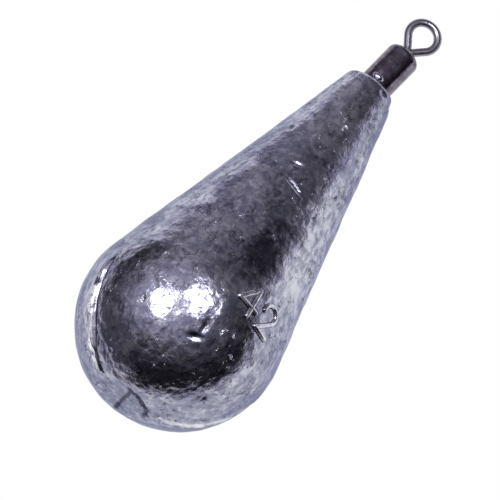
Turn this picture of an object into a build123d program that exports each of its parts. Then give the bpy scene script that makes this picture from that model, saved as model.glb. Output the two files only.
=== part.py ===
"""A cast lead fishing sinker with a barrel swivel cast into its narrow end.

Millimetres and degrees. The sinker hangs from its line: the swivel axis is Z, the origin is
at the centre of the line eye, and the lead hangs below it. The loop of the eye lies in XZ.
Every profile is drawn with its first coordinate out from the axis and its second along Z.
The lead is drawn upright, and then leans in XZ, because the swivel was cast in a little askew.
"""

import os
from math import acos, atan2, cos, degrees, hypot, radians, sin, sqrt

from build123d import *

# Lead casting
ball_diameter = 16.4  # the round end
lead_rise = 26.3  # centre of the round end to the top of the lead
lead_top_diameter = 4.3  # where the cone ends, before its edge is rounded
shoulder_radius = 1.2  # rounded edge round the foot of the barrel
gate_diameter = 4.4  # flat left where the pouring gate was trimmed off
flash_width = 0.4  # ridge where the two halves of the mould met
flash_height = 0.15
parting_turn = 22.0  # plane of that ridge, turned about Z from XZ

# Swivel barrel
barrel_diameter = 2.8
barrel_length = 5.0
barrel_exposed = 4.2  # the rest is cast into the lead
swivel_lean = 5.0  # between the axis of the swivel and the axis of the lead
barrel_wall = 0.35
end_wall = 0.4
swage = 0.45  # ends of the barrel bevelled where they are rolled in over the wire heads

# Wire eyes, one for the line and one buried in the lead
wire_diameter = 0.66
eye_opening = 1.78  # clear width inside the loop
leg_angle = 38.0  # between the axis and each leg of the loop
neck_height = 0.2  # barrel end to the point where the legs meet
neck_bevel = 0.2  # at the top of the shank
shank_diameter = 1.1
head_thickness = 0.85
head_bevel = 0.2
head_clearance = 0.1  # between a head and the bore round it
running_clearance = 0.05  # between a shank and its hole, and between a head and its seat

# Radii and levels worked out from the values above
ball_radius = ball_diameter / 2
barrel_radius = barrel_diameter / 2
bore_radius = barrel_radius - barrel_wall
head_radius = bore_radius - head_clearance
shank_radius = shank_diameter / 2
hole_radius = shank_radius + running_clearance
wire_radius = wire_diameter / 2
loop_radius = (eye_opening + wire_diameter) / 2
leg_lean = radians(leg_angle)
leg_length = loop_radius * cos(leg_lean) / sin(leg_lean)

neck_point = -loop_radius / sin(leg_lean)
barrel_top = neck_point - neck_height
barrel_foot = barrel_top - barrel_length
head_seat = barrel_top - end_wall - running_clearance
lead_top = barrel_top - barrel_exposed
ball_centre = lead_top - lead_rise
gate_level = ball_centre - sqrt(ball_radius**2 - (gate_diameter / 2) ** 2)

# The cone touches the ball along a circle, so its taper follows from the two widths
lead_top_radius = lead_top_diameter / 2
taper = atan2(lead_rise, lead_top_radius) - acos(ball_radius / hypot(lead_rise, lead_top_radius))


# Outside of the swivel barrel, which also shapes its seat in the lead
with BuildPart() as barrel_outside:
    with BuildSketch(Plane.XZ) as barrel_profile:
        with BuildLine():
            Polyline(
                (0, barrel_foot),
                (barrel_radius, barrel_foot),
                (barrel_radius, barrel_top),
                (0, barrel_top),
                close=True,
            )
        make_face()
        chamfer(barrel_profile.vertices().group_by(Axis.X)[-1], swage)
    revolve(axis=Axis.Z)

# Swivel barrel: a tube with both ends rolled in, so that the wire heads can't come out
with BuildPart() as swivel_barrel:
    add(barrel_outside.part)
    with BuildSketch(Plane.XZ):
        with BuildLine():
            Polyline(
                (0, barrel_foot),
                (hole_radius, barrel_foot),
                (hole_radius, barrel_foot + end_wall),
                (bore_radius, barrel_foot + end_wall),
                (bore_radius, barrel_top - end_wall),
                (hole_radius, barrel_top - end_wall),
                (hole_radius, barrel_top),
                (0, barrel_top),
                close=True,
            )
        make_face()
    revolve(axis=Axis.Z, mode=Mode.SUBTRACT)
swivel_barrel.part.label = "swivel_barrel"

# Line eye: a wire loop on two straight legs, a round shank, and a head inside the barrel
with BuildPart() as line_eye:
    with BuildSketch(Plane.XZ) as shank_profile:
        with BuildLine():
            Polyline(
                (0, head_seat - head_thickness),
                (head_radius, head_seat - head_thickness),
                (head_radius, head_seat),
                (shank_radius, head_seat),
                (shank_radius, neck_point),
                (0, neck_point),
                close=True,
            )
        make_face()
        chamfer(shank_profile.vertices().group_by(Axis.X)[-1], head_bevel)
        chamfer(shank_profile.vertices().group_by(Axis.Y)[-1].sort_by(Axis.X)[-1], neck_bevel)
    revolve(axis=Axis.Z)
    for side in (-1, 1):
        leg_way = (side * sin(leg_lean), 0, cos(leg_lean))
        with BuildSketch(Plane((0, 0, neck_point), z_dir=leg_way)):
            Circle(wire_radius)
        extrude(amount=leg_length)
    leg_end = (-loop_radius * cos(leg_lean), 0, -loop_radius * sin(leg_lean))
    with BuildSketch(Plane(leg_end, z_dir=(-sin(leg_lean), 0, cos(leg_lean)))):
        Circle(wire_radius)
    revolve(axis=Axis.Y, revolution_arc=180 + 2 * leg_angle)
line_eye.part.label = "line_eye"

# Anchor eye: the same wire eye at the other end of the barrel, buried in the lead
with BuildPart() as anchor_eye:
    mirror(line_eye.part, about=Plane.XY.offset((barrel_top + barrel_foot) / 2))
anchor_eye.part.label = "anchor_eye"

# Casting: ball and cone in one piece, with the marks of its mould
with BuildPart() as casting:
    with BuildSketch(Plane.XZ) as lead_profile:
        with BuildLine():
            ball = CenterArc((0, ball_centre), ball_radius, -90, 90 + degrees(taper))
            Polyline(ball @ 1, (lead_top_radius, lead_top), (0, lead_top), ball @ 0)
        make_face()
        fillet(lead_profile.vertices().group_by(Axis.Y)[-1].sort_by(Axis.X)[-1], shoulder_radius)
    revolve(axis=Axis.Z)
    with BuildSketch(Plane.XZ.rotated((0, 0, parting_turn))):
        add(lead_profile.sketch_local)
        mirror(about=Plane.YZ)
        offset(amount=flash_height)
    extrude(amount=flash_width / 2, both=True)
    split(bisect_by=Plane.XY.offset(gate_level))

# Lead body: the casting, poured round the barrel's foot and the anchor eye
with BuildPart() as lead_body:
    add(casting.part.rotate(Axis((0, 0, barrel_foot), (0, 1, 0)), -swivel_lean))
    add(barrel_outside.part, mode=Mode.SUBTRACT)
    add(anchor_eye.part, mode=Mode.SUBTRACT)
lead_body.part.label = "lead_body"

os.makedirs("parts", exist_ok=True)
for piece in (lead_body, swivel_barrel, anchor_eye, line_eye):
    export_step(piece.part, f"parts/{piece.part.label}.step")
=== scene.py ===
# %% [markdown]
# # A cast lead fishing sinker with a swivel
#
# The sinker is a pear of lead, poured round the foot of a small barrel swivel. It hangs from its line, so
# the swivel's axis is Z and the lead hangs below the eye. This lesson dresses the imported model: each step
# says what a piece is on the real object, how it could be made, and why it is made this way here.

from math import acos, asin, atan2, cos, degrees, hypot, pi, radians, sin, sqrt, tan

import bmesh
import bpy
from mathutils import Matrix, Vector


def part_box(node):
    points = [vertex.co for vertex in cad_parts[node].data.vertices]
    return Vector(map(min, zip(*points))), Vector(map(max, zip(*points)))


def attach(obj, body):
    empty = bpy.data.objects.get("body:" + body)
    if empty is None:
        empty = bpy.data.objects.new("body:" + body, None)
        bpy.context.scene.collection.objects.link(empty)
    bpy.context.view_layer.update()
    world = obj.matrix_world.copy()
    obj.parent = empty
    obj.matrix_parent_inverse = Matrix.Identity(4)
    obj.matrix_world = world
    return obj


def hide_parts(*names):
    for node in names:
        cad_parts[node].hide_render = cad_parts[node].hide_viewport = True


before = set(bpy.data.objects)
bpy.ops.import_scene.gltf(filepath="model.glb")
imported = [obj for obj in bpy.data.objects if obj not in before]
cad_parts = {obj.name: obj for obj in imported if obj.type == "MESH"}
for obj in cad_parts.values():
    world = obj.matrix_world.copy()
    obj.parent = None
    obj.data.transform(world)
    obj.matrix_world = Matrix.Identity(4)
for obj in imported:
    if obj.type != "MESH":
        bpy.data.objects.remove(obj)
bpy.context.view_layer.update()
mm = 0.001

# %% [markdown]
# ## Sizes from the frame
#
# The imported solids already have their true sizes, so most values here are read from their boxes. Only
# what a box can't tell, such as where the round end turns into the cone, is written down once, as on a
# drawing. The swivel was cast in a little askew. It is easier to draw the lead upright, with its axis on
# Z, and to lean it when it is done.

# %% Read the sizes
lead_low, lead_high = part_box("lead_body")
barrel_low, barrel_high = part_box("swivel_barrel")
eye_low, eye_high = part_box("line_eye")

ball_radius = (lead_high.x - lead_low.x) / 2
lead_rise = 26.3 * mm  # centre of the round end to the top of the lead
lead_top_radius = 2.15 * mm  # where the cone ends, before its edge is rounded
shoulder = 1.2 * mm  # rounding of that edge
barrel_shown = 4.2 * mm  # how far the barrel stands out of the lead
lead_top = barrel_high.z - barrel_shown
ball_height = lead_top - lead_rise  # of the centre of the round end
gate_radius = 2.2 * mm  # flat where the pouring gate was cut off
gate_height = ball_height - sqrt(ball_radius ** 2 - gate_radius ** 2)
barrel_radius = barrel_high.x
wire_radius = 0.33 * mm
loop_radius = eye_high.z - wire_radius

swivel_lean = radians(5)  # about the foot of the barrel
barrel_foot = Vector((0, 0, barrel_low.z))
lean_turn = Matrix.Rotation(-swivel_lean, 4, "Y")
lead_lean = Matrix.Translation(barrel_foot) @ lean_turn @ Matrix.Translation(-barrel_foot)

# The cone touches the ball, so its taper follows from the two widths
taper = atan2(lead_rise, lead_top_radius) - acos(ball_radius / hypot(lead_rise, lead_top_radius))
print(f"ball {2 * ball_radius / mm:.1f} mm across, taper {degrees(taper):.1f} degrees")

# %% [markdown]
# ## Writing node trees as sums
#
# Every shape and finish below is a node tree that this script builds. A wall of calls that add nodes and
# links is hard to read, so `Field` wraps one output of a node and lets the trees be written as ordinary
# sums. The same wrapper serves geometry and materials, because both know the Math node.

# %% Fields and nodes
class Field:
    """One output of a node, with the sums that can be done on it."""

    def __init__(self, tree, socket):
        self.tree, self.socket = tree, socket

    def sum(self, operation, *others):
        node = put(self.tree, "ShaderNodeMath", operation=operation)
        for socket, value in zip(node.inputs, (self, *others)):
            feed(self.tree, socket, value)
        return Field(self.tree, node.outputs[0])

    def __add__(self, other):
        return self.sum("ADD", other)

    __radd__ = __add__  # lets Python's own sum() add fields up

    def __sub__(self, other):
        return self.sum("SUBTRACT", other)

    def __mul__(self, other):
        return self.sum("MULTIPLY", other)

    def size(self):
        return self.sum("ABSOLUTE")

    def fade(self, start, end, low=0.0, high=1.0):
        """Goes smoothly from low, at start, to high, at end."""
        node = put(self.tree, "ShaderNodeMapRange", interpolation_type="SMOOTHSTEP")
        for socket, value in zip(node.inputs, (self, start, end, low, high)):
            feed(self.tree, socket, value)
        return Field(self.tree, node.outputs[0])

    def ramp(self, start, end, low=0.0, high=1.0):
        """The same in a straight line, which keeps the slope even."""
        ramp = self.fade(start, end, low, high)
        ramp.socket.node.interpolation_type = "LINEAR"
        return ramp

    def near(self, place, reach):
        """1 where the field is at place, down to 0 where it is reach away."""
        return (self - place).size().fade(0.0, reach, 1.0, 0.0)


def put(tree, kind, inputs=None, **settings):
    """Adds a node with its settings, and feeds its inputs by name or number."""
    node = tree.nodes.new(kind)
    for name, value in settings.items():
        setattr(node, name, value)
    for key, value in (inputs or {}).items():
        feed(tree, node.inputs[key], value)
    return node


def feed(tree, socket, value):
    """Links a field to a socket, or sets the socket's own value."""
    if isinstance(value, Field):
        tree.links.new(value.socket, socket)
    else:
        socket.default_value = value


def out(node, key=0):
    """One output of a node as a field."""
    return Field(node.id_data, node.outputs[key])


# %% Vectors and noise
def vector_sum(operation, vector, other=None, scale=None):
    """One step of vector sums. A length or a dot product is a number, any other result a vector."""
    node = put(vector.tree, "ShaderNodeVectorMath", {0: vector}, operation=operation)
    if other is not None:
        feed(vector.tree, node.inputs[1], other)
    if scale is not None:
        feed(vector.tree, node.inputs["Scale"], scale)
    return out(node, "Value" if operation in ("DOT_PRODUCT", "LENGTH") else "Vector")


def split(vector):
    """The x, y and z of a vector field."""
    node = put(vector.tree, "ShaderNodeSeparateXYZ", {0: vector})
    return [out(node, axis) for axis in range(3)]


def join(tree, x, y, z):
    """A vector field from its x, y and z."""
    return out(put(tree, "ShaderNodeCombineXYZ", {0: x, 1: y, 2: z}))


def noise(vector, scale, detail=2.0, rough=0.5, shift=None):
    """Smooth noise from 0 to 1, its scale in bumps per unit. A shift gives it a pattern of its own."""
    if shift is not None:
        vector = vector_sum("ADD", vector, shift)
    return out(put(vector.tree, "ShaderNodeTexNoise",
                   {"Vector": vector, "Scale": scale, "Detail": detail, "Roughness": rough}))


def cells(vector, scale):
    """The distance to the middle of a random cell, and two random numbers that belong to the cell."""
    node = put(vector.tree, "ShaderNodeTexVoronoi", {"Vector": vector, "Scale": scale})
    first, second, _ = split(out(node, "Color"))
    return out(node, "Distance"), first, second


# %% [markdown]
# ## Geometry trees and plain meshes
#
# A geometry tree has named inputs for its sizes, and a piece gets its own values by each input's
# identifier. The frame wants plain meshes, so when a piece has grown, `settle` keeps the result and drops
# the modifier.

# %% Start, end and settle a geometry tree
def new_geometry(name, **inputs):
    """A geometry tree with named inputs, their fields by name, and their identifiers by name."""
    tree = bpy.data.node_groups.new(name, "GeometryNodeTree")
    tree.interface.new_socket("Geometry", in_out="INPUT", socket_type="NodeSocketGeometry")
    kinds = {int: "NodeSocketInt", float: "NodeSocketFloat"}
    sockets = {}
    for key, default in inputs.items():
        socket = tree.interface.new_socket(key, in_out="INPUT", socket_type=kinds[type(default)])
        socket.default_value = default
        sockets[key] = socket.identifier
    tree.interface.new_socket("Geometry", in_out="OUTPUT", socket_type="NodeSocketGeometry")
    start = put(tree, "NodeGroupInput")
    return tree, {key: out(start, key) for key in ("Geometry", *inputs)}, sockets


def close_tree(tree, geometry, material):
    """Ends a tree the way every piece here ends: real geometry, with its finish."""
    real = out(put(tree, "GeometryNodeRealizeInstances", {0: geometry}))
    dressed = out(put(tree, "GeometryNodeSetMaterial", {"Geometry": real, "Material": material}))
    put(tree, "NodeGroupOutput", {0: dressed})


def link(piece):
    """Puts a piece into the scene."""
    bpy.context.scene.collection.objects.link(piece)
    return piece


def settle(piece, name, tree, sockets, **values):
    """Grows a piece by a geometry tree, and keeps the result as a plain mesh object."""
    modifier = piece.modifiers.new(tree.name, "NODES")
    modifier.node_group = tree
    for key, value in values.items():
        modifier[sockets[key]] = value
    shape = bpy.data.meshes.new_from_object(piece.evaluated_get(bpy.context.evaluated_depsgraph_get()))
    bpy.data.objects.remove(piece)
    shape.name = name
    shape.shade_smooth()
    print(f"{name}: {sum(len(face.vertices) - 2 for face in shape.polygons)} triangles")
    return link(bpy.data.objects.new(name, shape))


# %% [markdown]
# ## Profiles and the lathe
#
# A lathe part is drawn as half of its section: a few corner points, some of them rounded. A poly curve
# can carry that by itself, because each of its points has a radius, which Blender uses for thickness and
# which is read here as the rounding of that corner. A curve can also hold several lines, as the number
# will need. `turned` then wraps a grid of rows and columns round Z: each row takes its width and height
# from a point along the profile, and each column its angle. The columns can be packed closer along one
# plane, which the lead needs for its mould seam.

# %% Profile curves
def profile(name, *lines, closed=False):
    """A curve in the XZ plane. Each of its lines runs through (out, up, rounding) corners."""
    curve = bpy.data.curves.new(name, "CURVE")
    curve.dimensions = "3D"
    for corners in lines:
        spline = curve.splines.new("POLY")
        spline.points.add(len(corners) - 1)
        for point, (across, up, rounding) in zip(spline.points, corners):
            point.co = (across, 0, up, 1)
            point.radius = rounding
        spline.use_cyclic_u = closed
    return link(bpy.data.objects.new(name, curve))


def rounded(curve, arc_points):
    """Rounds each corner of a curve by the radius that its point carries."""
    corner = out(put(curve.tree, "GeometryNodeInputRadius"))
    inputs = {"Curve": curve, "Count": arc_points, "Radius": corner, "Limit Radius": True}
    return out(put(curve.tree, "GeometryNodeFilletCurve", inputs, mode="POLY"))


# %% The lathe
def turned(curve, rows, columns, turn=0.0, crowding=0.0):
    """Spins a profile curve round Z, with the columns crowded towards the plane at turn."""
    tree = curve.tree
    half = 0.5  # the grid is one unit wide, with its middle at zero
    weld = 0.001 * mm
    grid = out(put(tree, "GeometryNodeMeshGrid",
                   {"Size X": 1.0, "Size Y": 1.0, "Vertices X": rows, "Vertices Y": columns}))
    along, around, _ = split(out(put(tree, "GeometryNodeInputPosition")))
    spin = (around + half) * (2 * pi)
    lag = (spin * 2).sum("SINE") + (spin * 4).sum("SINE") * 0.5  # steepest where the plane cuts the turn
    angle = spin - lag * crowding + turn
    place = put(tree, "GeometryNodeSampleCurve", {"Curves": curve, "Factor": along + half}, mode="FACTOR")
    across, _, up = split(out(place, "Position"))
    spot = join(tree, across * angle.sum("COSINE"), across * angle.sum("SINE"), up)
    wrapped = out(put(tree, "GeometryNodeSetPosition", {"Geometry": grid, "Position": spot}))
    welded = out(put(tree, "GeometryNodeMergeByDistance", {"Geometry": wrapped, "Distance": weld}))
    return out(put(tree, "GeometryNodeFlipFaces", {0: welded}))


# %% [markdown]
# ## Finish: cast lead
#
# Cast lead is a soft bluish grey metal. Its skin froze against the mould, so it is half mirror and half
# satin. It is bright where it has been rubbed, dull where it has tarnished, and dark with oxide in every
# hollow. Its flanks, the right one most, are painted lighter as well: a painted sheen. The body and the
# number tell the finish where, by an attribute called hollow: above zero it is how much oxide a point
# holds, and below zero how bright a crest is, rubbed and partly a painted highlight. What is too fine
# for the mesh, pores and grain, is bump: its heights are added up in millimetres, so that each can be
# compared with a real size.

# %% Materials in millimetres
def new_finish(name):
    """A bare metal material, its shader, and the object coordinates in millimetres."""
    material = bpy.data.materials.new(name)
    material.use_nodes = True
    tree = material.node_tree
    shader = tree.nodes["Principled BSDF"]
    shader.inputs["Metallic"].default_value = 1.0
    place = out(put(tree, "ShaderNodeTexCoord"), "Object")
    spot = out(put(tree, "ShaderNodeMapping", {"Vector": place, "Scale": (1 / mm, 1 / mm, 1 / mm)}))
    return material, tree, shader, spot


def blend(amount, low, high):
    """A colour that goes from low to high with the amount."""
    node = put(amount.tree, "ShaderNodeMix", {"Factor": amount}, data_type="RGBA")
    colours = [socket for socket in node.inputs if socket.type == "RGBA"]
    for socket, colour in zip(colours, (low, high)):
        feed(amount.tree, socket, colour if isinstance(colour, Field) else (*colour, 1))
    return next(Field(amount.tree, socket) for socket in node.outputs if socket.type == "RGBA")


def bump(shader, height):
    """Bumps a shader's surface by a height in millimetres."""
    node = put(height.tree, "ShaderNodeBump", {"Height": height, "Distance": mm})
    feed(height.tree, shader.inputs["Normal"], out(node))


# %% Places on the lead
def section_at(rise):
    """How far the lead reaches out at a rise over the ball's centre, and how far its side leans in there."""
    if rise > ball_radius * sin(taper):
        return lead_top_radius + (lead_rise - rise) * tan(taper), taper
    lean = asin(rise / ball_radius)
    return ball_radius * cos(lean), lean


def on_lead(turn, rise, over=0.0):
    """A place on the upright lead, or over its skin, at a turn from the front and a rise."""
    reach, lean = section_at(rise)
    reach += over * cos(lean)
    return Vector((reach * sin(turn), -reach * cos(turn), ball_height + rise + over * sin(lean)))


def patch(spot, ragged, turn, rise, half_width, stretch):
    """1 in a ragged patch at a turn and a rise, longer up the side than across it."""
    place = lead_lean @ on_lead(turn, rise) / mm
    off = vector_sum("SUBTRACT", spot, tuple(place))
    off = vector_sum("MULTIPLY", off, (1.0, 1.0, 1 / stretch))
    return (vector_sum("LENGTH", off) + ragged).fade(half_width * 1.5, half_width * 0.5)


# %% Cast lead
# Lead colours. The rubbed one also carries the flanks' painted sheen; the bright one is for crests, rubbed
# and partly a painted highlight.
bright_lead = (0.93, 0.93, 0.96)
rubbed_lead_and_sheen = (0.68, 0.69, 0.76)
dull_lead = (0.27, 0.275, 0.37)
lead_oxide = (0.06, 0.055, 0.08)
tarnish_tint = (0.5, 0.51, 0.64, 1)  # keeps the edges from going white
drawn_out = (1.0, 1.0, 0.14)  # draws a pattern out up the side
ball_at = ball_height / mm  # heights in millimetres, as the finishes count
top_at = lead_top / mm


def cast_lead():
    material, tree, shader, spot = new_finish("cast_lead")
    x, _, z = split(spot)
    depth = out(put(tree, "ShaderNodeAttribute", attribute_name="hollow"), "Fac")
    hollow = depth.sum("MAXIMUM", 0.0)
    crest_rub_and_highlight = depth.fade(0.0, -1.0)
    grain = noise(spot, 2.2, detail=5.0, rough=0.62)
    fine = noise(spot, 9.0)
    drawn = noise(vector_sum("MULTIPLY", spot, drawn_out), 2.6, detail=4.0, rough=0.6)
    patches = noise(spot, 0.4, detail=3.0, rough=0.6)
    flecks = noise(spot, 1.4, detail=5.0, rough=0.72, shift=(2.0, 9.0, 5.0)).fade(0.56, 0.7)
    mottle = noise(spot, 1.3, detail=3.0, rough=0.6, shift=(4.0, 1.0, 8.0)).fade(0.36, 0.64)
    stain = noise(spot, 1.1, detail=5.0, rough=0.7, shift=(7.0, 3.0, 1.0)).fade(0.56, 0.72)

    # Two patches that stand out, one dark and one pale
    ragged = (patches - 0.5) * 3.0 + (grain - 0.5) * 2.0
    burnt = patch(spot, ragged, radians(12.5), 6.0 * mm, half_width=1.5, stretch=2.2)
    pale = patch(spot, ragged, radians(1), 19.5 * mm, half_width=1.2, stretch=1.6)

    # How far it is rubbed, plus a painted sheen on the flanks, most on the right. Near the top it is
    # lighter on the left and darker on the right.
    cone = z.fade(ball_at - 3, ball_at + 4)
    tip = z.fade(top_at - 10, top_at - 4) * x.fade(2.0, 0.0, -0.3, 0.25)
    flank_sheen = x.fade(1.0, 8.0) * z.fade(ball_at, ball_at + 8) + x.fade(-1.0, -6.0) * 0.5
    rubbed_and_sheen = (patches - 0.5) * 1.4 + (mottle - 0.5) * 0.42 + (grain - 0.5) * 1.2
    rubbed_and_sheen = rubbed_and_sheen + flank_sheen * 0.36 + tip * 0.6 + pale * 0.35
    rubbed_and_sheen = rubbed_and_sheen + (drawn - 0.5) * (flank_sheen * 1.9 + 0.5) * cone
    bare = blend((rubbed_and_sheen + flecks * 0.5).fade(-0.35, 0.85), dull_lead, rubbed_lead_and_sheen)
    # Crests take the bright colour: rubbed lead, and partly a painted highlight
    bare = blend(crest_rub_and_highlight, bare, bright_lead)

    # Where it is dark: in hollows, pores and thin veins, on stains and on the burnt patch
    shaken = vector_sum("ADD", spot, vector_sum("SCALE", join(tree, grain, fine, mottle), scale=0.5))
    distance, chance, _ = cells(shaken, 1.9)
    pore = distance.fade(0.24, 0.06) * chance.fade(0.72, 0.85)
    distance, chance, _ = cells(shaken, 1.0)
    speck = distance.fade(0.3, 0.05) * (chance + patches).fade(1.3, 1.42)
    vein = (noise(shaken, 0.7) - 0.5).size().fade(0.03, 0.01) * noise(spot, 0.45).fade(0.46, 0.56)
    dark = (hollow * 0.8 + stain * 0.4 + pore * 0.8 + vein * 0.6 + burnt * 0.85).sum("MINIMUM", 1.0)

    feed(tree, shader.inputs["Base Color"], blend(dark, bare, lead_oxide))
    feed(tree, shader.inputs["Roughness"], grain * 0.28 + hollow * 0.2 + 0.03)
    shader.inputs["Specular Tint"].default_value = tarnish_tint
    relief = grain * 0.01 + mottle * 0.012 + fine * 0.003 + drawn * cone * 0.012
    bump(shader, relief - pore * 0.045 - speck * 0.05)
    return material


lead_finish = cast_lead()
print("finish", lead_finish.name)

# %% [markdown]
# ## The lead body
#
# The body is one casting: a ball that runs into a long cone. Its section is only two straight lines, the
# level of the lowest point and the flank, and one big rounding between them is the ball. So the profile
# has few corners, and the lathe makes the rest. A plain lathe part would look machined, though. The tree
# then moves every point along its normal by what casting left: an uneven skin, pits, flow wrinkles, the
# seam where the two halves of the mould met, the scar where the pouring gate was cut off, and a few
# knocks. Each mark is a function that gives a height in millimetres and how hollow it is, in the sense
# that the finish knows.

# %% Marks of casting
def uneven_skin(start, spot):
    """Three sizes of waves, less their mean. They hold no oxide."""
    waves = noise(spot, 0.2, detail=1.0) * 1.7 + noise(spot, 0.6, detail=3.0) * 0.8
    waves = waves + noise(spot, 1.3) * 0.3 - 1.4
    return waves * start["Unevenness"], 0.0


def pits(start, spot):
    """Round pits of several widths, where gas kept the lead off the mould."""
    distance, chance, wide = cells(spot, 0.75)
    pit = distance.fade(wide * 0.16 + 0.12, 0.0) * chance.fade(0.4, 0.7)
    return pit * start["PitDepth"] * -1, pit


def flow_wrinkles(start, spot):
    """Long shallow folds up the side, in some places only."""
    fold = noise(vector_sum("MULTIPLY", spot, drawn_out), 1.5, detail=3.0, rough=0.6).fade(0.5, 0.7)
    fold = fold * noise(spot, 0.22).fade(0.38, 0.58)
    return fold * start["WrinkleDepth"] * -1, fold * 0.35


def mould_seam(start, spot):
    """A ridge round the ball, with broken gutters beside it. Low down its crest is painted bright, both as
    rubbed metal and as a painted highlight.

    On the left it lies in the plane at SeamTurn. On the right it is weaker, and just in front of the axis.
    """
    x, y, z = split(spot)
    wide, turn = start["SeamWidth"], start["SeamTurn"]
    forward = y + x.fade(-1.0, 3.0, 0.0, 0.6)
    off = (x.sum("MINIMUM", 0.0) * turn.sum("SINE") - forward * turn.sum("COSINE")).size()
    even = noise(spot, 0.6, detail=3.0).fade(0.35, 0.6, 0.45, 1.0)
    strong = even * z.fade(ball_at - 3, ball_at + 1, 1.0, 0.08)
    strong = strong * z.fade(ball_at - 7.8, ball_at - 6, 0.35, 1.0) * x.fade(-1.0, 1.0, 1.0, 0.45)
    ridge = off.ramp(wide * 0.35, wide * 0.75, 1.0, 0.0) * strong
    gutter = off.near(wide * 0.9, wide * 0.25) * strong
    broken = noise(spot, 1.4).fade(0.45, 0.58)
    # The crest low down: rubbed, and partly a painted highlight
    rubbed_and_sheen = off.fade(wide * 0.6, wide * 0.4) * even * z.fade(ball_at - 7.9, ball_at - 7.0)
    rubbed_and_sheen = rubbed_and_sheen * z.fade(ball_at - 2.0, ball_at - 3.5)
    return ridge * start["SeamHeight"] - gutter * broken * start["GutterDepth"], gutter * broken - rubbed_and_sheen


def gate_scar(start, spot):
    """A torn edge on one side of the flat that the cut gate left, and a crack across it."""
    x, y, z = split(spot)
    wide = start["GateRadius"]
    from_axis = (x * x + y * y).sum("SQRT")
    low = z.fade(ball_at - 6.5, ball_at - 7.0)
    ragged = noise(spot, 1.6, detail=3.0) - 0.5
    edge = (from_axis + ragged * 0.5).near(wide, 0.34)
    edge = edge * x.fade(-0.6, 0.2) * y.fade(0.6, -0.2)
    crack = (x + ragged * 0.4).near(0.1, 0.26) * from_axis.fade(wide + 0.3, wide)
    scar = (edge + crack).sum("MINIMUM", 1.0) * low
    return scar * start["ScarDepth"] * -1, scar * 1.4


# %% Knocks
def knock(spot, turn, rise, slant, half_length, half_width, depth):
    """A dent at a turn and a rise, its length slanting from level. All is in degrees and millimetres."""
    turn, rise = radians(turn), rise * mm
    _, lean = section_at(rise)
    outward = Vector((sin(turn) * cos(lean), -cos(turn) * cos(lean), sin(lean)))
    along = Matrix.Rotation(radians(slant), 3, outward) @ Vector((cos(turn), sin(turn), 0))
    across = outward.cross(along)
    off = vector_sum("SUBTRACT", spot, tuple(on_lead(turn, rise) / mm))
    length = vector_sum("DOT_PRODUCT", off, tuple(along / half_length))
    width = vector_sum("DOT_PRODUCT", off, tuple(across / half_width))
    this_side = vector_sum("DOT_PRODUCT", off, tuple(outward)).fade(-3.0, -2.0)
    dent = (length * length + width * width).sum("SQRT").fade(1.0, 0.15) * this_side
    return dent * -depth, dent * 0.4


# Turn, rise, slant, half length, half width and depth of each
knocks = [
    (-11, 14.9, 12, 0.75, 0.22, 0.13),
    (-1.5, 13.0, -17, 1.6, 0.26, 0.14),
    (8.8, -3.2, 28, 0.95, 0.34, 0.17),
    (9, -2.2, 96, 0.9, 0.3, 0.14),
    (48, -5.2, -51, 0.7, 0.25, 0.1),
    (66, -7.2, 39, 0.4, 0.25, 0.1),
    (24, 25.6, -9, 0.5, 0.25, 0.14),
    (85, 25.8, 0, 1.6, 0.9, 0.2)]
print(len(knocks), "knocks")


# %% The lead body's tree
def casting_tree(material):
    tree, start, sockets = new_geometry(
        "lead_casting", Rows=300, Columns=330, Unevenness=0.14, PitDepth=0.07, WrinkleDepth=0.03,
        SeamTurn=0.0, SeamWidth=0.62, SeamHeight=0.34, GutterDepth=0.05,
        GateHeight=0.0, GateRadius=2.2, ScarDepth=0.18, CutUnevenness=0.1 * mm)
    section = rounded(start["Geometry"], arc_points=96)
    body = turned(section, start["Rows"], start["Columns"], start["SeamTurn"], crowding=0.19)

    spot = vector_sum("SCALE", out(put(tree, "GeometryNodeInputPosition")), scale=1 / mm)
    marks = [mark(start, spot) for mark in (uneven_skin, pits, flow_wrinkles, mould_seam, gate_scar)]
    marks += [knock(spot, *measures) for measures in knocks]
    height = sum(height for height, _ in marks)
    hollow = sum(hollow for _, hollow in marks).sum("MINIMUM", 1.0)
    body = out(put(tree, "GeometryNodeStoreNamedAttribute",
                   {"Geometry": body, "Name": "hollow", "Value": hollow}, data_type="FLOAT", domain="POINT"))
    push = vector_sum("SCALE", out(put(tree, "GeometryNodeInputNormal")), scale=height * mm)
    body = out(put(tree, "GeometryNodeSetPosition", {"Geometry": body, "Offset": push}))

    # The gate was cut off nearly flat
    place = out(put(tree, "GeometryNodeInputPosition"))
    x, y, z = split(place)
    rough = noise(place, 0.6 / mm, detail=3.0) * start["CutUnevenness"]
    cut = join(tree, x, y, z.sum("MAXIMUM", start["GateHeight"] + rough))
    body = out(put(tree, "GeometryNodeSetPosition", {"Geometry": body, "Position": cut}))
    close_tree(tree, body, material)
    return tree, sockets


# %% Make the lead body
seat_radius = barrel_radius - 0.16 * mm  # inside the barrel's wall all round, though the barrel leans in it
lip_rise = 0.22 * mm  # the lead climbed the barrel a little
lip_reach = 0.3 * mm
lip_rounding = 0.1 * mm
seam_turn = radians(22)
pole = ball_height - ball_radius
flank_foot = lead_top_radius + (lead_top - pole) * tan(taper)

lead_section = profile("lead_section", [
    (0, pole, 0), (flank_foot, pole, ball_radius), (lead_top_radius, lead_top, shoulder),
    (barrel_radius + lip_reach, lead_top, lip_rounding), (seat_radius, lead_top + lip_rise, 0),
    (seat_radius, barrel_low.z, 0), (0, barrel_low.z, 0)])
lead = settle(lead_section, "cast_lead_body", *casting_tree(lead_finish),
              SeamTurn=seam_turn, GateHeight=gate_height, GateRadius=gate_radius / mm)
lead.data.transform(lead_lean)
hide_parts("lead_body")
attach(lead, "sinker")

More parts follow.
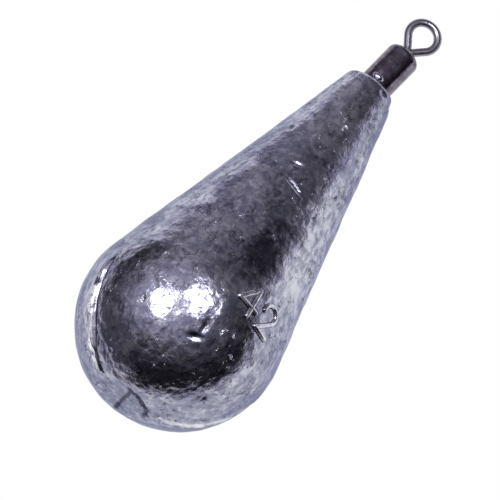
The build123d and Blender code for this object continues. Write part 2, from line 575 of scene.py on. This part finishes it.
# %% [markdown]
# ## The cast number
#
# Sinkers carry their weight as a raised number, which the mould maker cut with a round-nosed tool. A
# plain number stands here. A font would be quicker, but its flat strokes look printed. So each stroke is
# a path that a round bar follows, with a ball at both ends, and the lead hides its lower half. The
# strokes are drawn flat, one unit tall, and then bent onto the lead point by point: across the number is
# round the axis, and up is up the side.

# %% Strokes of the number
number_height = 2.7 * mm
number_turn = radians(27.5)  # to the right of the front
number_rise = 2.2 * mm  # over the ball's centre

# Strokes through (across, up, rounding) corners, their ends a little apart, so that no faces coincide
four = [[(0.52, 0, 0), (0.52, 0.98, 0)],
        [(0.5, 1, 0), (0.02, 0.32, 0)],
        [(0, 0.3, 0), (0.72, 0.3, 0)]]
two = [[(0, 0.66, 0), (0, 1, 0.28), (0.56, 1, 0.28), (0.56, 0.6, 0.3), (0.02, 0.02, 0)],
       [(0, 0, 0), (0.58, 0, 0)]]
four_left, two_left = -0.76, 0.18


def place_figure(figure, left):
    """The strokes of a figure at its true height, with its left side at a place along the number."""
    return [[((left + across) * number_height, (up - 0.5) * number_height, rounding * number_height)
             for across, up, rounding in stroke] for stroke in figure]


number_strokes = profile("number_strokes", *place_figure(four, four_left), *place_figure(two, two_left))
print(len(number_strokes.data.splines), "strokes")


# %% Round bars along paths
def bar_along(path, radius, sides):
    """A round bar that follows a path, closed at both ends."""
    ring = out(put(path.tree, "GeometryNodeCurvePrimitiveCircle", {"Resolution": sides, "Radius": radius}))
    inputs = {"Curve": path, "Profile Curve": ring, "Fill Caps": True}
    return out(put(path.tree, "GeometryNodeCurveToMesh", inputs))


def stroke_tree(material):
    tree, start, sockets = new_geometry(
        "cut_strokes", StrokeRadius=0.2 * mm, BallShare=0.97, Step=0.06 * mm, Sides=16)
    radius, sides = start["StrokeRadius"], start["Sides"]
    path = rounded(start["Geometry"], arc_points=16)
    path = out(put(tree, "GeometryNodeResampleCurve",
                   {"Curve": path, "Length": start["Step"]}, mode="LENGTH"))
    ball = out(put(tree, "GeometryNodeMeshUVSphere",
                   {"Segments": sides, "Rings": 8, "Radius": radius * start["BallShare"]}))
    ends = out(put(tree, "GeometryNodeCurveEndpointSelection"))
    balls = out(put(tree, "GeometryNodeInstanceOnPoints",
                    {"Points": path, "Selection": ends, "Instance": ball}))
    both = put(tree, "GeometryNodeJoinGeometry", {0: bar_along(path, radius, sides)})
    feed(tree, both.inputs[0], balls)
    close_tree(tree, out(both), material)
    return tree, sockets


# %% Make the cast number
stroke_radius = 0.22 * mm
stroke_relief = 0.8  # a stroke stands lower than it is wide
# Oxide at the feet of the strokes, and how bright their tops are: rubbed, and partly a painted highlight
foot_oxide, top_rub_and_highlight = 0.8, 0.6


def bend_onto_lead(shape):
    """Wraps flat strokes round the lead, with rubbed tops painted as a highlight and oxide at their feet."""
    hollow = shape.attributes.new("hollow", "FLOAT", "POINT")
    for point in shape.vertices:
        across, under, up = point.co
        topmost = max(-under, 0) / stroke_radius
        hollow.data[point.index].value = foot_oxide - (foot_oxide + top_rub_and_highlight) * topmost
        rise = number_rise + up * cos(taper)
        reach, _ = section_at(rise)
        point.co = on_lead(number_turn + across / reach, rise, -under * stroke_relief)


number = settle(number_strokes, "cast_number", *stroke_tree(lead_finish), StrokeRadius=stroke_radius)
bend_onto_lead(number.data)
number.data.transform(lead_lean)
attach(number, "sinker")

# %% [markdown]
# ## Finish: dark plated brass and steel wire
#
# The barrel is brass under a dark nickel plating that has worn a little paler in patches. The eye is
# drawn steel wire that has dulled. Both are plain metals, so gloss and small wear carry the look.

# %% Barrel and wire finishes
dark_plating = (0.12, 0.1, 0.13)
worn_plating = (0.28, 0.26, 0.33)
dull_steel = (0.24, 0.23, 0.27)
bare_steel = (0.37, 0.36, 0.41)


def dark_plated_brass():
    material, tree, shader, spot = new_finish("dark_plated_brass")
    patches = noise(spot, 1.6, detail=4.0, rough=0.6)
    feed(tree, shader.inputs["Base Color"], blend(patches.fade(0.4, 0.75), dark_plating, worn_plating))
    feed(tree, shader.inputs["Roughness"], patches * 0.12 + 0.05)
    bump(shader, noise(spot, 5.0, detail=3.0) * 0.01)
    return material


def steel_wire():
    material, tree, shader, spot = new_finish("steel_wire")
    wear = noise(spot, 6.0, detail=3.0)
    feed(tree, shader.inputs["Base Color"], blend(wear, dull_steel, bare_steel))
    feed(tree, shader.inputs["Roughness"], wear * 0.2 + 0.15)
    bump(shader, wear * 0.006)
    return material


barrel_finish = dark_plated_brass()
wire_finish = steel_wire()
print("finishes", barrel_finish.name, wire_finish.name)

# %% [markdown]
# ## The swivel barrel
#
# The barrel is a short brass tube. Its ends are rolled in over the heads of the two wire eyes, so they
# are rounded outside and leave only a small hole. One closed section with rounded corners, turned on the
# same lathe, makes it.

# %% Make the swivel barrel
barrel_wall = 0.35 * mm
end_wall = 0.4 * mm
hole_radius = 0.6 * mm
hole_rounding = 0.1 * mm
rolled = 0.5 * mm  # rounding of the rolled ends


def lathe_tree(name, material):
    tree, start, sockets = new_geometry(name, Rows=160, Columns=97)
    tube = turned(rounded(start["Geometry"], arc_points=12), start["Rows"], start["Columns"])
    close_tree(tree, tube, material)
    return tree, sockets


bore = barrel_radius - barrel_wall
low, high = barrel_low.z, barrel_high.z
barrel_section = profile("barrel_section", [
    (hole_radius, low, 0), (barrel_radius, low, rolled), (barrel_radius, high, rolled),
    (hole_radius, high, hole_rounding), (hole_radius, high - end_wall, 0), (bore, high - end_wall, 0),
    (bore, low + end_wall, 0), (hole_radius, low + end_wall, 0)], closed=True)
barrel = settle(barrel_section, "swivel_barrel_tube", *lathe_tree("rolled_barrel", barrel_finish))
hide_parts("swivel_barrel")
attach(barrel, "sinker")

# %% [markdown]
# ## A bead of lead
#
# Where the mould closed round the barrel, a drop of lead was squeezed out and froze on the rim. It is a
# small sphere, drawn out sideways, more so above than below, and pressed a little flat, so that it
# doesn't look like a ball bearing.

# %% Make the bead
bead_radius = 0.4 * mm
bead_place = Vector((-0.32 * mm, -barrel_radius - 0.1 * mm, lead_top + 0.34 * mm))
bead_width, bead_swell, bead_height = 1.25, 0.15, 0.9

drop = bmesh.new()
bmesh.ops.create_icosphere(drop, subdivisions=4, radius=bead_radius)
for point in drop.verts:
    point.co.x *= bead_width + bead_swell * sin(point.co.z / bead_radius * 2.0)
    point.co.z *= bead_height
    point.co += bead_place
bead_shape = bpy.data.meshes.new("lead_bead")
drop.to_mesh(bead_shape)
bead_shape.shade_smooth()
bead_shape.materials.append(lead_finish)
bead = link(bpy.data.objects.new("lead_bead", bead_shape))
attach(bead, "sinker")
print("lead_bead:", len(bead_shape.polygons), "triangles")

# %% [markdown]
# ## The line eye
#
# The eye is one wire: up out of the barrel, round the loop and down again. Its path is a line with
# rounded corners too. The two big corners lie where the slanted legs would meet a level line over the
# loop, so that two equal roundings touch at the top and make the loop a true circle.

# %% Make the line eye
leg_lean = radians(38)
strand = 0.25 * mm  # half the way between the two strands in the hole
strand_depth = 0.7 * mm  # how far the strands run into the barrel
neck_rounding = 0.4 * mm
neck = -loop_radius / sin(leg_lean)  # where the slants of the two legs meet
top_corner = (loop_radius - neck) * tan(leg_lean)


def wire_tree(material):
    tree, start, sockets = new_geometry("bent_wire", WireRadius=0.33 * mm, Steps=220, Sides=28)
    path = rounded(start["Geometry"], arc_points=64)
    path = out(put(tree, "GeometryNodeResampleCurve", {"Curve": path, "Count": start["Steps"]}))
    close_tree(tree, bar_along(path, start["WireRadius"], start["Sides"]), material)
    return tree, sockets


strand_foot = barrel_high.z - strand_depth
spread = neck + strand / tan(leg_lean)
wire_path = profile("wire_path", [
    (strand, strand_foot, 0), (strand, spread, neck_rounding), (top_corner, loop_radius, loop_radius),
    (-top_corner, loop_radius, loop_radius), (-strand, spread, neck_rounding), (-strand, strand_foot, 0)])
eye = settle(wire_path, "line_eye_wire", *wire_tree(wire_finish), WireRadius=wire_radius)
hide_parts("line_eye")
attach(eye, "line_eye")

# %% [markdown]
# Inside the barrel the ends of the wire are pressed into a head, which keeps the eye from coming out. It
# can't be seen, but a swivel without it would fall apart, so it is turned on the lathe from a plain
# section.

# %% Make the head of the eye
end_float = 0.05 * mm
head_clearance = 0.1 * mm
head_rounding = 0.2 * mm

head_seat = barrel_high.z - end_wall - end_float
head_foot = eye_low.z
head_radius = bore - head_clearance
head_section = profile("head_section", [
    (0, head_foot, 0), (head_radius, head_foot, head_rounding),
    (head_radius, head_seat, head_rounding), (0, head_seat, 0)])
head = settle(head_section, "line_eye_head", *lathe_tree("pressed_head", wire_finish), Rows=48)
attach(head, "line_eye")

# %% [markdown]
# The swivel's other eye is bent from the same wire. It was cast into the lead and holds the swivel there.
# None of it shows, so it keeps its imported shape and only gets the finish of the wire.

# %% Finish the anchor eye
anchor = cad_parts["anchor_eye"]
anchor.data.materials.clear()
anchor.data.materials.append(wire_finish)
print("anchor_eye:", wire_finish.name)

# %% [markdown]
# ## Camera
#
# The picture was taken from in front and a little below the hanging sinker, so that its round end comes
# towards the lens, with a long lens and with the camera rolled. `toward`, `photo_right` and `photo_up`
# are the picture's own axes in the frame, and the stage below uses them as well.

# %% Camera
view_below = radians(25.1)
axis_in_picture = radians(45.65)  # the swivel's axis, from the picture's right
picture_width = 38.7 * mm  # what the picture spans at the sinker
camera_distance = 0.8
sensor = 36.0
ball_in_picture = Vector((180.0, 326.4))  # pixels, from the top left
picture_pixels = 500

toward = Vector((0, -cos(view_below), -sin(view_below)))
axis_up = Vector((0, -sin(view_below), cos(view_below)))
level = Vector((1, 0, 0))
photo_right = axis_up * cos(axis_in_picture) + level * sin(axis_in_picture)
photo_up = axis_up * sin(axis_in_picture) - level * cos(axis_in_picture)
middle = lead_lean @ Vector((0, 0, ball_height))
picture_middle = Vector((picture_pixels, picture_pixels)) / 2
off_centre = (picture_middle - ball_in_picture) * picture_width / picture_pixels
aim = middle + photo_right * off_centre.x - photo_up * off_centre.y

camera = link(bpy.data.objects.new("camera", bpy.data.cameras.new("camera")))
camera.data.sensor_width = sensor
camera.data.lens = sensor * camera_distance / picture_width
facing = Matrix((photo_right, photo_up, toward)).transposed().to_4x4()
camera.matrix_world = Matrix.Translation(aim + toward * camera_distance) @ facing
bpy.context.scene.camera = camera
print(f"lens {camera.data.lens:.0f} mm at {camera_distance} m")

# %% [markdown]
# ## Stage
#
# Bare metal shows what stands round it. In the picture the sinker lies on a white table under a dark room
# with two lamps, and that gives the pale rim, the near black middle and the two white spots. Here the
# world is the white, and a dark half dome on the camera's side is the room. Only the metal sees the dome,
# the camera doesn't.

# %% World and floor
white = (1, 1, 1, 1)
world_light = 0.8  # what falls on things, where the white that is seen has 1
floor_drop = 0.5
floor_width = 16
floor_grey = (0.9, 0.9, 0.9, 1)
floor_roughness = 0.9


def seen_directly(tree):
    """1 for what the camera sees, by itself or in metal, and 0 for light that only falls on things."""
    rays = put(tree, "ShaderNodeLightPath")
    return out(rays, "Is Camera Ray") + out(rays, "Is Glossy Ray") + out(rays, "Is Transmission Ray")


world = bpy.data.worlds.new("studio")
bpy.context.scene.world = world
world.use_nodes = True
sky = world.node_tree
background = sky.nodes["Background"]
background.inputs["Color"].default_value = white
feed(sky, background.inputs["Strength"], seen_directly(sky).fade(0.0, 1.0, world_light, 1.0))

bpy.ops.mesh.primitive_plane_add(size=floor_width, location=(0, 0, -floor_drop))
floor = bpy.context.object
floor.name = "floor"
paper = bpy.data.materials.new("paper_floor")
paper.use_nodes = True
sheet = paper.node_tree
matt = sheet.nodes["Principled BSDF"]
matt.inputs["Base Color"].default_value = floor_grey
matt.inputs["Roughness"].default_value = floor_roughness
plain = put(sheet, "ShaderNodeEmission", {"Color": white, "Strength": 1.0})
surface = put(sheet, "ShaderNodeMixShader", {0: seen_directly(sheet), 1: out(matt), 2: out(plain)})
sheet.links.new(surface.outputs[0], sheet.nodes["Material Output"].inputs["Surface"])
floor.data.materials.append(paper)
print("floor", floor_drop, "m below the eye")

# %% Walls of the dark room
room_way = (toward + photo_up * 0.31 - photo_right * 0.09).normalized()
room_edge = 102  # degrees from that way, where the half dome is cut
room_light = (0.92, 0.86, 1.0, 1)
lamp_ways = [photo_right * -0.27 + photo_up * 0.48 + toward * 0.835,
             photo_right * 0.359 + photo_up * 0.473 + toward * 0.805]


def fade_about(way, centre, start, end, high):
    """Goes from 0 to high between two angles, in degrees, from a centre."""
    near_centre = vector_sum("DOT_PRODUCT", way, tuple(centre.normalized()))
    return near_centre.fade(cos(radians(start)), cos(radians(end)), 0.0, high)


def room_walls():
    """Dark walls, paler round the lamps, towards the ceiling, at a window on the left and at the edge."""
    material = bpy.data.materials.new("room_walls")
    material.use_nodes = True
    tree = material.node_tree
    tree.nodes.remove(tree.nodes["Principled BSDF"])
    place = out(put(tree, "ShaderNodeTexCoord"), "Object")
    way = vector_sum("NORMALIZE", vector_sum("SUBTRACT", place, tuple(middle)))
    side = vector_sum("DOT_PRODUCT", way, tuple(lead_lean.col[0].xyz))
    up = vector_sum("DOT_PRODUCT", way, tuple(lead_lean.col[2].xyz))
    halo = fade_about(way, lamp_ways[0] + lamp_ways[1], 82, 10, 0.28) * up.fade(0.8, 0.45, 0.25, 1.0)
    glow_way = lamp_ways[0] * 0.7 + lamp_ways[1] * 0.3 - photo_right * 0.12 + photo_up * 0.04
    glow = fade_about(way, glow_way, 56, 18, 0.5)
    window = vector_sum("DOT_PRODUCT", way, tuple(photo_right * -1)).fade(0.5, 1.0, 0.0, 0.12)
    ceiling = up.fade(0.5, 0.78) * (side.fade(-0.1, -0.7, 0.1, 0.4) + side.fade(0.3, 0.65, 0.0, 0.2))
    edge = fade_about(way, room_way, 89, room_edge, 0.9)
    strength = halo + glow + window + ceiling + edge + 0.02
    light = put(tree, "ShaderNodeEmission", {"Color": room_light, "Strength": strength})
    tree.links.new(light.outputs[0], tree.nodes["Material Output"].inputs["Surface"])
    return material


# %% Dark room
room_radius = 0.2

shell = bmesh.new()
bmesh.ops.create_uvsphere(shell, u_segments=96, v_segments=48, radius=room_radius)
cut_place = room_way * room_radius * cos(radians(room_edge))
bmesh.ops.bisect_plane(shell, geom=shell.verts[:] + shell.edges[:] + shell.faces[:],
                       plane_co=cut_place, plane_no=room_way, clear_inner=True)
bmesh.ops.translate(shell, verts=shell.verts, vec=middle)
room_shape = bpy.data.meshes.new("dark_room")
shell.to_mesh(room_shape)
room_shape.materials.append(room_walls())
room = link(bpy.data.objects.new("dark_room", room_shape))
room.visible_camera = room.visible_diffuse = room.visible_shadow = False
print("dark room", room_radius, "m from the ball")

# %% Lamps
lamp_distance = 0.17
lamp_radiance = 9.0
lamp_widths = (23, 25)  # degrees, as the ball sees them

for count, (way, width) in enumerate(zip(lamp_ways, lamp_widths), start=1):
    lamp = bpy.data.lights.new(f"lamp_{count}", "AREA")
    lamp.shape = "DISK"
    lamp.size = 2 * lamp_distance * tan(radians(width / 2))
    lamp.energy = lamp_radiance * pi * pi * lamp.size ** 2 / 4
    holder = link(bpy.data.objects.new(lamp.name, lamp))
    facing = way.to_track_quat("Z", "Y").to_matrix().to_4x4()
    holder.matrix_world = Matrix.Translation(middle + way.normalized() * lamp_distance) @ facing
    print(f"{lamp.name}: {lamp.size / mm:.0f} mm wide")

bpy.context.scene.view_settings.view_transform = "Standard"
